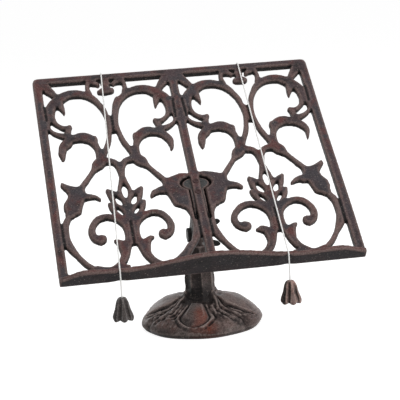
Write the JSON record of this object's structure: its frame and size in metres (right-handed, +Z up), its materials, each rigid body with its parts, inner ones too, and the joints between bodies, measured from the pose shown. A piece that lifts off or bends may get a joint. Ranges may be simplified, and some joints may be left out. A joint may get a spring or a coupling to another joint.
{
  "type": "cookbook stand",
  "caption": "Cast iron cookbook stand with a tilting scrollwork bookrest on a fluted pedestal foot, and corded weights that hang over the pages to keep them open.",
  "frame": {"origin": "on the table under the middle of the foot", "axes": "+Z up, +X to the reader's right, and the open front of the bookrest faces -Y"},
  "size_m": [0.3, 0.232, 0.2588],
  "materials": {
    "cast_iron": "rough dark brown cast iron with rubbed reddish edges",
    "bracket_iron": "matt black cast iron",
    "black_steel": "blackened steel hardware",
    "white_cord": "twisted white cord"
  },
  "bodies": {
    "pedestal": {"foot": "cast_iron", "stem": "cast_iron", "foot_bolt": "black_steel", "foot_washer": "black_steel", "pivot_bolt": "black_steel", "pivot_washer": "black_steel"},
    "bookrest": {"rest_frame": "cast_iron", "book_ledge": "cast_iron", "tilt_bracket": "bracket_iron", "bracket_screws": "bracket_iron", "left_outer_vine": "cast_iron", "left_inner_vine": "cast_iron", "left_palmette": "cast_iron", "left_crest": "cast_iron", "right_outer_vine": "cast_iron", "right_inner_vine": "cast_iron", "right_palmette": "cast_iron", "right_crest": "cast_iron", "left_cord_run": "white_cord", "left_cord_knot": "white_cord", "right_cord_run": "white_cord", "right_cord_knot": "white_cord"},
    "clamp_nut": {"wing_nut": "black_steel"},
    "left_plumb": {"left_weight": "cast_iron", "left_cord_drop": "white_cord", "left_weight_knot": "white_cord"},
    "right_plumb": {"right_weight": "cast_iron", "right_cord_drop": "white_cord", "right_weight_knot": "white_cord"}
  },
  "joints": [
    {"name": "rest_tilt", "type": "hinge", "parent": "pedestal", "child": "bookrest", "pos_m": [0, 0, 0.095], "axis": [1, 0, 0], "range_deg": [-25, 20]},
    {"name": "wing_nut_turn", "type": "hinge", "parent": "pedestal", "child": "clamp_nut", "pos_m": [0, 0, 0.095], "axis": [1, 0, 0], "continuous": true},
    {"name": "left_weight_swing", "type": "hinge", "parent": "bookrest", "child": "left_plumb", "pos_m": [-0.0925, -0.10482, 0.08706], "axis": [1, 0, 0], "range_deg": [-65, 35]},
    {"name": "right_weight_swing", "type": "hinge", "parent": "bookrest", "child": "right_plumb", "pos_m": [0.072, -0.10521, 0.08752], "axis": [1, 0, 0], "range_deg": [-65, 35]}
  ]
}
